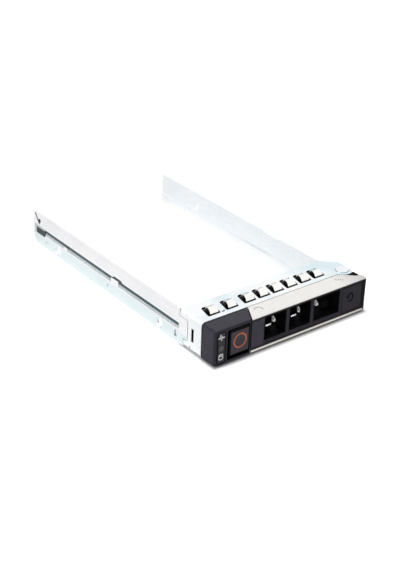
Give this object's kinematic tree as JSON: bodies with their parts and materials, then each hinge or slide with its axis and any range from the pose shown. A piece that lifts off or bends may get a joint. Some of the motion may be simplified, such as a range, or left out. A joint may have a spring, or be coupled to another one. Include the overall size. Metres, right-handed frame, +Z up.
{
  "type": "hot swap drive caddy",
  "caption": "Open hot swap tray for a 2.5-inch drive: steel side rails, black fascia with a release button and a swing-out ejector handle.",
  "frame": {"origin": "under the middle of the closed caddy, on the plane it slides on", "axes": "+X to the right seen from the front, +Y from the fascia to the rear, +Z up"},
  "size_m": [0.0782, 0.133, 0.0164],
  "materials": {
    "zinc_steel": "bright zinc plating, satin",
    "spring_steel": "bare stainless spring sheet",
    "pin_steel": "plated, turned",
    "cap_plastic": "fine matte moulding",
    "button_plastic": "fine matte moulding",
    "ring_print": "terracotta inlay",
    "smoked_pane": "smoked, satin",
    "lens_grey": "smoked lens",
    "light_guide": "clear with a teal cast",
    "clip_plastic": "black moulding",
    "handle_silver": "warm satin silver",
    "grille_plastic": "fine matte moulding",
    "vent_plastic": "black moulding",
    "latch_plastic": "dark acetal"
  },
  "bodies": {
    "tray": {"front_bracket": "zinc_steel", "left_rail": "zinc_steel", "right_rail": "zinc_steel", "emi_finger_strip": "spring_steel", "light_pipe_lower": "light_guide", "light_pipe_upper": "light_guide", "light_pipe_rear_clip": "clip_plastic", "end_housing": "cap_plastic", "led_window": "smoked_pane", "led_lens": "lens_grey", "button_spring": "spring_steel", "vent_wall": "vent_plastic", "pivot_pin": "pin_steel"},
    "handle": {"handle_cover": "handle_silver", "handle_grille": "grille_plastic", "ejector_cam": "zinc_steel", "handle_catch": "zinc_steel"},
    "button": {"release_button": "button_plastic", "button_ring": "ring_print"},
    "latch": {"latch_slide": "latch_plastic"}
  },
  "joints": [
    {"name": "handle_pivot", "type": "hinge", "parent": "tray", "child": "handle", "pos_m": [0.03545, -0.0559, 0.0078], "axis": [0, 0, 1], "range_deg": [0, 55]},
    {"name": "button_press", "type": "slide", "parent": "tray", "child": "button", "axis": [0, 1, 0], "range_m": [0, 0.0012], "stiffness_N_per_m": 300, "deforming": ["button_spring"]},
    {"name": "latch_shift", "type": "slide", "parent": "tray", "child": "latch", "axis": [-1, 0, 0], "range_m": [0, 0.0012]}
  ],
  "couplings": [
    {"joint": "latch_shift", "follows": "button_press", "ratio": 1}
  ]
}
